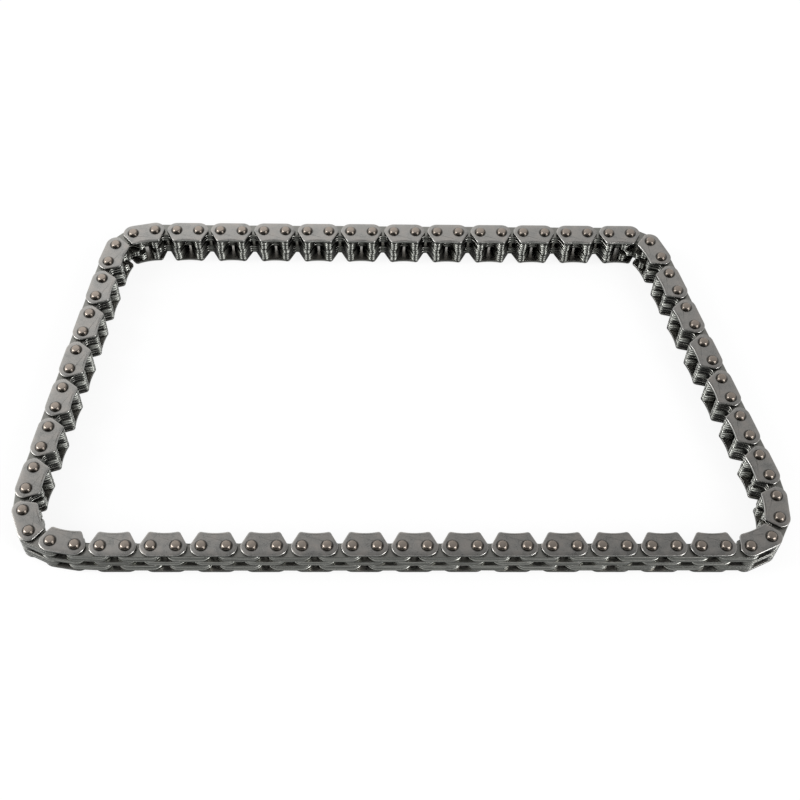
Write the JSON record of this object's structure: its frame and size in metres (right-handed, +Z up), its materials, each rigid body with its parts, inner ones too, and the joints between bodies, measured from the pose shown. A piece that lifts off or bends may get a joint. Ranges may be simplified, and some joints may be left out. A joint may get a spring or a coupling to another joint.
{
  "type": "oil pump chain",
  "caption": "Closed inverted-tooth drive chain: toothed plate links and outer guide links joined by riveted pins, laid on its side as a rounded four-sided loop.",
  "frame": {"origin": "middle of the chain's box, at the bottom, on the surface it lies on", "axes": "+X along the straight front run, +Y from the front run to the back run, +Z up along the pins"},
  "size_m": [0.2004, 0.109, 0.0111],
  "materials": {
    "guide_steel": "tumbled satin steel",
    "toothed_steel": "tumbled satin steel, a little darker",
    "pin_steel": "warm grey riveted steel"
  },
  "bodies": {
    "link_pair_00": {"link_pair_00": "guide_steel"},
    "link_pair_02": {"link_pair_02": "guide_steel"},
    "link_pair_04": {"link_pair_04": "guide_steel"},
    "link_pair_06": {"link_pair_06": "guide_steel"},
    "link_pair_08": {"link_pair_08": "guide_steel"},
    "link_pair_10": {"link_pair_10": "guide_steel"},
    "guide_link_12": {"guide_plate_12_lower": "guide_steel", "guide_plate_12_upper": "guide_steel", "centre_plate_12_1": "toothed_steel", "centre_plate_12_2": "toothed_steel", "pin_12": "pin_steel", "pin_13": "pin_steel"},
    "inner_link_13": {"inner_link_13_lower": "toothed_steel", "inner_link_13_upper": "toothed_steel"},
    "link_pair_14": {"link_pair_14": "guide_steel"},
    "link_pair_16": {"link_pair_16": "guide_steel"},
    "link_pair_18": {"link_pair_18": "guide_steel"},
    "link_pair_20": {"link_pair_20": "guide_steel"},
    "link_pair_22": {"link_pair_22": "guide_steel"},
    "link_pair_24": {"link_pair_24": "guide_steel"},
    "guide_link_26": {"guide_link_26": "guide_steel"},
    "inner_link_27": {"inner_link_27_lower": "toothed_steel", "inner_link_27_upper": "toothed_steel"},
    "link_pair_28": {"link_pair_28": "guide_steel"},
    "link_pair_30": {"link_pair_30": "guide_steel"},
    "link_pair_32": {"link_pair_32": "guide_steel"},
    "link_pair_34": {"link_pair_34": "guide_steel"},
    "link_pair_36": {"link_pair_36": "guide_steel"},
    "link_pair_38": {"link_pair_38": "guide_steel"},
    "link_pair_40": {"link_pair_40": "guide_steel"},
    "guide_link_42": {"guide_link_42": "guide_steel"},
    "inner_link_43": {"inner_link_43_lower": "toothed_steel", "inner_link_43_upper": "toothed_steel"},
    "link_pair_44": {"link_pair_44": "guide_steel"},
    "link_pair_46": {"link_pair_46": "guide_steel"},
    "link_pair_48": {"link_pair_48": "guide_steel"},
    "link_pair_50": {"link_pair_50": "guide_steel"},
    "link_pair_52": {"link_pair_52": "guide_steel"},
    "link_pair_54": {"link_pair_54": "guide_steel"},
    "link_pair_56": {"link_pair_56": "guide_steel"},
    "link_pair_58": {"link_pair_58": "guide_steel"},
    "link_pair_60": {"link_pair_60": "guide_steel"},
    "link_pair_62": {"link_pair_62": "guide_steel"},
    "link_pair_64": {"link_pair_64": "guide_steel"},
    "guide_link_66": {"guide_link_66": "guide_steel"},
    "inner_link_67": {"inner_link_67_lower": "toothed_steel", "inner_link_67_upper": "toothed_steel"},
    "link_pair_68": {"link_pair_68": "guide_steel"},
    "link_pair_70": {"link_pair_70": "guide_steel"},
    "link_pair_72": {"link_pair_72": "guide_steel"},
    "link_pair_74": {"link_pair_74": "guide_steel"},
    "link_pair_76": {"link_pair_76": "guide_steel"},
    "link_pair_78": {"link_pair_78": "guide_steel"},
    "link_pair_80": {"link_pair_80": "guide_steel"},
    "guide_link_82": {"guide_link_82": "guide_steel"},
    "inner_link_83": {"inner_link_83_lower": "toothed_steel", "inner_link_83_upper": "toothed_steel"},
    "link_pair_84": {"link_pair_84": "guide_steel"}
  },
  "joints": [
    {"name": "pivot_43", "type": "hinge", "parent": "guide_link_42", "child": "inner_link_43", "pos_m": [0.07378, 0.04858, 0.00555], "axis": [0, 0, 1], "range_deg": [-10.25, 10.25]},
    {"name": "pivot_44", "type": "hinge", "parent": "inner_link_43", "child": "link_pair_44", "pos_m": [0.06822, 0.05166, 0.00555], "axis": [0, 0, 1], "range_deg": [-1.8, 1.8]},
    {"name": "pivot_46", "type": "hinge", "parent": "link_pair_44", "child": "link_pair_46", "pos_m": [0.05552, 0.05166, 0.00555], "axis": [0, 0, 1], "range_deg": [-10.01, 10.01]},
    {"name": "pivot_48", "type": "hinge", "parent": "link_pair_46", "child": "link_pair_48", "pos_m": [0.04282, 0.05166, 0.00555], "axis": [0, 0, 1], "range_deg": [-20.01, 20.01]},
    {"name": "pivot_50", "type": "hinge", "parent": "link_pair_48", "child": "link_pair_50", "pos_m": [0.03012, 0.05166, 0.00555], "axis": [0, 0, 1], "range_deg": [-20.01, 20.01]},
    {"name": "pivot_52", "type": "hinge", "parent": "link_pair_50", "child": "link_pair_52", "pos_m": [0.01742, 0.05166, 0.00555], "axis": [0, 0, 1], "range_deg": [-12.26, 12.26]},
    {"name": "pivot_54", "type": "hinge", "parent": "link_pair_52", "child": "link_pair_54", "pos_m": [0.00472, 0.05166, 0.00555], "axis": [0, 0, 1], "range_deg": [-12.26, 12.26]},
    {"name": "pivot_56", "type": "hinge", "parent": "link_pair_54", "child": "link_pair_56", "pos_m": [-0.00798, 0.05166, 0.00555], "axis": [0, 0, 1], "range_deg": [-12.26, 12.26]},
    {"name": "pivot_58", "type": "hinge", "parent": "link_pair_56", "child": "link_pair_58", "pos_m": [-0.02068, 0.05166, 0.00555], "axis": [0, 0, 1], "range_deg": [-12.26, 12.26]},
    {"name": "pivot_60", "type": "hinge", "parent": "link_pair_58", "child": "link_pair_60", "pos_m": [-0.03338, 0.05166, 0.00555], "axis": [0, 0, 1], "range_deg": [-20.01, 20.01]},
    {"name": "pivot_62", "type": "hinge", "parent": "link_pair_60", "child": "link_pair_62", "pos_m": [-0.04608, 0.05166, 0.00555], "axis": [0, 0, 1], "range_deg": [-20.01, 20.01]},
    {"name": "pivot_64", "type": "hinge", "parent": "link_pair_62", "child": "link_pair_64", "pos_m": [-0.05878, 0.05166, 0.00555], "axis": [0, 0, 1], "range_deg": [-10.01, 10.01]},
    {"name": "pivot_66", "type": "hinge", "parent": "link_pair_64", "child": "guide_link_66", "pos_m": [-0.07148, 0.05166, 0.00555], "axis": [0, 0, 1], "range_deg": [-3.48, 3.48]},
    {"name": "pivot_67", "type": "hinge", "parent": "guide_link_66", "child": "inner_link_67", "pos_m": [-0.07769, 0.05034, 0.00555], "axis": [0, 0, 1], "range_deg": [-9, 9]},
    {"name": "pivot_68", "type": "hinge", "parent": "inner_link_67", "child": "link_pair_68", "pos_m": [-0.08233, 0.04601, 0.00555], "axis": [0, 0, 1], "range_deg": [-7.1, 7.1]},
    {"name": "pivot_70", "type": "hinge", "parent": "link_pair_68", "child": "link_pair_70", "pos_m": [-0.08499, 0.03359, 0.00555], "axis": [0, 0, 1], "range_deg": [-1.57, 1.57]},
    {"name": "pivot_72", "type": "hinge", "parent": "link_pair_70", "child": "link_pair_72", "pos_m": [-0.08723, 0.02109, 0.00555], "axis": [0, 0, 1], "range_deg": [-7.93, 7.93]},
    {"name": "pivot_74", "type": "hinge", "parent": "link_pair_72", "child": "link_pair_74", "pos_m": [-0.08947, 0.00859, 0.00555], "axis": [0, 0, 1], "range_deg": [-7.93, 7.93]},
    {"name": "pivot_76", "type": "hinge", "parent": "link_pair_74", "child": "link_pair_76", "pos_m": [-0.09171, -0.00391, 0.00555], "axis": [0, 0, 1], "range_deg": [-7.93, 7.93]},
    {"name": "pivot_78", "type": "hinge", "parent": "link_pair_76", "child": "link_pair_78", "pos_m": [-0.09395, -0.01641, 0.00555], "axis": [0, 0, 1], "range_deg": [-7.93, 7.93]},
    {"name": "pivot_80", "type": "hinge", "parent": "link_pair_78", "child": "link_pair_80", "pos_m": [-0.0962, -0.02891, 0.00555], "axis": [0, 0, 1], "range_deg": [-1.98, 1.98]},
    {"name": "pivot_82", "type": "hinge", "parent": "link_pair_80", "child": "guide_link_82", "pos_m": [-0.09732, -0.04151, 0.00555], "axis": [0, 0, 1], "range_deg": [-8.29, 8.29]},
    {"name": "pivot_83", "type": "hinge", "parent": "guide_link_82", "child": "inner_link_83", "pos_m": [-0.09504, -0.04744, 0.00555], "axis": [0, 0, 1], "range_deg": [-12, 12]},
    {"name": "pivot_84", "type": "hinge", "parent": "inner_link_83", "child": "link_pair_84", "pos_m": [-0.08933, -0.05022, 0.00555], "axis": [0, 0, 1], "range_deg": [-8.02, 8.02]},
    {"name": "pivot_42", "type": "hinge", "parent": "guide_link_42", "child": "link_pair_40", "pos_m": [0.07636, 0.04278, 0.00555], "axis": [0, 0, -1], "range_deg": [-12, 12]},
    {"name": "pivot_40", "type": "hinge", "parent": "link_pair_40", "child": "link_pair_38", "pos_m": [0.07971, 0.03053, 0.00555], "axis": [0, 0, -1], "range_deg": [-3.56, 3.56]},
    {"name": "pivot_38", "type": "hinge", "parent": "link_pair_38", "child": "link_pair_36", "pos_m": [0.08305, 0.01827, 0.00555], "axis": [0, 0, -1], "range_deg": [-8.01, 8.01]},
    {"name": "pivot_36", "type": "hinge", "parent": "link_pair_36", "child": "link_pair_34", "pos_m": [0.0864, 0.00602, 0.00555], "axis": [0, 0, -1], "range_deg": [-8.01, 8.01]},
    {"name": "pivot_34", "type": "hinge", "parent": "link_pair_34", "child": "link_pair_32", "pos_m": [0.08974, -0.00623, 0.00555], "axis": [0, 0, -1], "range_deg": [-8, 8]},
    {"name": "pivot_32", "type": "hinge", "parent": "link_pair_32", "child": "link_pair_30", "pos_m": [0.09309, -0.01848, 0.00555], "axis": [0, 0, -1], "range_deg": [-8.01, 8.01]},
    {"name": "pivot_30", "type": "hinge", "parent": "link_pair_30", "child": "link_pair_28", "pos_m": [0.09643, -0.03073, 0.00555], "axis": [0, 0, -1], "range_deg": [-1.84, 1.84]},
    {"name": "pivot_28", "type": "hinge", "parent": "link_pair_28", "child": "inner_link_27", "pos_m": [0.0971, -0.04337, 0.00555], "axis": [0, 0, -1], "range_deg": [-8.51, 8.51]},
    {"name": "pivot_27", "type": "hinge", "parent": "inner_link_27", "child": "guide_link_26", "pos_m": [0.09412, -0.04897, 0.00555], "axis": [0, 0, -1], "range_deg": [-12, 12]},
    {"name": "pivot_26", "type": "hinge", "parent": "guide_link_26", "child": "link_pair_24", "pos_m": [0.08836, -0.05166, 0.00555], "axis": [0, 0, -1], "range_deg": [-6.09, 6.09]},
    {"name": "pivot_24", "type": "hinge", "parent": "link_pair_24", "child": "link_pair_22", "pos_m": [0.07566, -0.05166, 0.00555], "axis": [0, 0, -1], "range_deg": [-0.76, 0.76]},
    {"name": "pivot_22", "type": "hinge", "parent": "link_pair_22", "child": "link_pair_20", "pos_m": [0.06296, -0.05166, 0.00555], "axis": [0, 0, -1], "range_deg": [-10.01, 10.01]},
    {"name": "pivot_20", "type": "hinge", "parent": "link_pair_20", "child": "link_pair_18", "pos_m": [0.05026, -0.05166, 0.00555], "axis": [0, 0, -1], "range_deg": [-20.01, 20.01]},
    {"name": "pivot_18", "type": "hinge", "parent": "link_pair_18", "child": "link_pair_16", "pos_m": [0.03756, -0.05166, 0.00555], "axis": [0, 0, -1], "range_deg": [-20, 20]},
    {"name": "pivot_16", "type": "hinge", "parent": "link_pair_16", "child": "link_pair_14", "pos_m": [0.02486, -0.05166, 0.00555], "axis": [0, 0, -1], "range_deg": [-10.01, 10.01]},
    {"name": "pivot_14", "type": "hinge", "parent": "link_pair_14", "child": "inner_link_13", "pos_m": [0.01216, -0.05166, 0.00555], "axis": [0, 0, -1], "range_deg": [-20.01, 20.01]},
    {"name": "pivot_13", "type": "hinge", "parent": "inner_link_13", "child": "guide_link_12", "pos_m": [0.00581, -0.05166, 0.00555], "axis": [0, 0, -1], "range_deg": [-20, 20]},
    {"name": "pivot_12", "type": "hinge", "parent": "guide_link_12", "child": "link_pair_10", "pos_m": [-0.00054, -0.05166, 0.00555], "axis": [0, 0, -1], "range_deg": [-20.01, 20.01]},
    {"name": "pivot_10", "type": "hinge", "parent": "link_pair_10", "child": "link_pair_08", "pos_m": [-0.01324, -0.05166, 0.00555], "axis": [0, 0, -1], "range_deg": [-10.01, 10.01]},
    {"name": "pivot_08", "type": "hinge", "parent": "link_pair_08", "child": "link_pair_06", "pos_m": [-0.02594, -0.05166, 0.00555], "axis": [0, 0, -1], "range_deg": [-20.01, 20.01]},
    {"name": "pivot_06", "type": "hinge", "parent": "link_pair_06", "child": "link_pair_04", "pos_m": [-0.03864, -0.05166, 0.00555], "axis": [0, 0, -1], "range_deg": [-20, 20]},
    {"name": "pivot_04", "type": "hinge", "parent": "link_pair_04", "child": "link_pair_02", "pos_m": [-0.05134, -0.05166, 0.00555], "axis": [0, 0, -1], "range_deg": [-10, 10]},
    {"name": "pivot_02", "type": "hinge", "parent": "link_pair_02", "child": "link_pair_00", "pos_m": [-0.06404, -0.05166, 0.00555], "axis": [0, 0, -1], "range_deg": [-1.05, 1.05]}
  ],
  "couplings": [
    {"joint": "pivot_43", "follows": "pivot_42", "ratio": -0.85329},
    {"joint": "pivot_44", "follows": "pivot_42", "ratio": 0.14919},
    {"joint": "pivot_46", "follows": "pivot_04", "ratio": 1},
    {"joint": "pivot_48", "follows": "pivot_18", "ratio": 1},
    {"joint": "pivot_50", "follows": "pivot_18", "ratio": -1},
    {"joint": "pivot_52", "follows": "pivot_13", "ratio": 0.61237},
    {"joint": "pivot_54", "follows": "pivot_13", "ratio": -0.61237},
    {"joint": "pivot_56", "follows": "pivot_13", "ratio": -0.61237},
    {"joint": "pivot_58", "follows": "pivot_13", "ratio": 0.61237},
    {"joint": "pivot_60", "follows": "pivot_06", "ratio": 1},
    {"joint": "pivot_62", "follows": "pivot_06", "ratio": -1},
    {"joint": "pivot_64", "follows": "pivot_04", "ratio": -1},
    {"joint": "pivot_66", "follows": "pivot_67", "ratio": -0.38536},
    {"joint": "pivot_68", "follows": "pivot_67", "ratio": -0.78812},
    {"joint": "pivot_70", "follows": "pivot_67", "ratio": 0.17347},
    {"joint": "pivot_72", "follows": "pivot_34", "ratio": -0.98998},
    {"joint": "pivot_74", "follows": "pivot_34", "ratio": 0.98998},
    {"joint": "pivot_76", "follows": "pivot_34", "ratio": 0.98998},
    {"joint": "pivot_78", "follows": "pivot_34", "ratio": -0.98998},
    {"joint": "pivot_80", "follows": "pivot_83", "ratio": 0.1643},
    {"joint": "pivot_82", "follows": "pivot_83", "ratio": -0.68966},
    {"joint": "pivot_84", "follows": "pivot_83", "ratio": -0.66763},
    {"joint": "pivot_40", "follows": "pivot_42", "ratio": -0.2959},
    {"joint": "pivot_38", "follows": "pivot_34", "ratio": -1},
    {"joint": "pivot_36", "follows": "pivot_34", "ratio": 1},
    {"joint": "pivot_32", "follows": "pivot_34", "ratio": -1},
    {"joint": "pivot_30", "follows": "pivot_27", "ratio": 0.15232},
    {"joint": "pivot_28", "follows": "pivot_27", "ratio": -0.70815},
    {"joint": "pivot_26", "follows": "pivot_27", "ratio": -0.50702},
    {"joint": "pivot_24", "follows": "pivot_27", "ratio": 0.062858},
    {"joint": "pivot_22", "follows": "pivot_04", "ratio": -1},
    {"joint": "pivot_20", "follows": "pivot_18", "ratio": -1},
    {"joint": "pivot_16", "follows": "pivot_13", "ratio": 0.5},
    {"joint": "pivot_14", "follows": "pivot_13", "ratio": -1},
    {"joint": "pivot_12", "follows": "pivot_13", "ratio": -1},
    {"joint": "pivot_10", "follows": "pivot_13", "ratio": 0.5},
    {"joint": "pivot_08", "follows": "pivot_06", "ratio": -1},
    {"joint": "pivot_02", "follows": "pivot_83", "ratio": -0.086734}
  ]
}
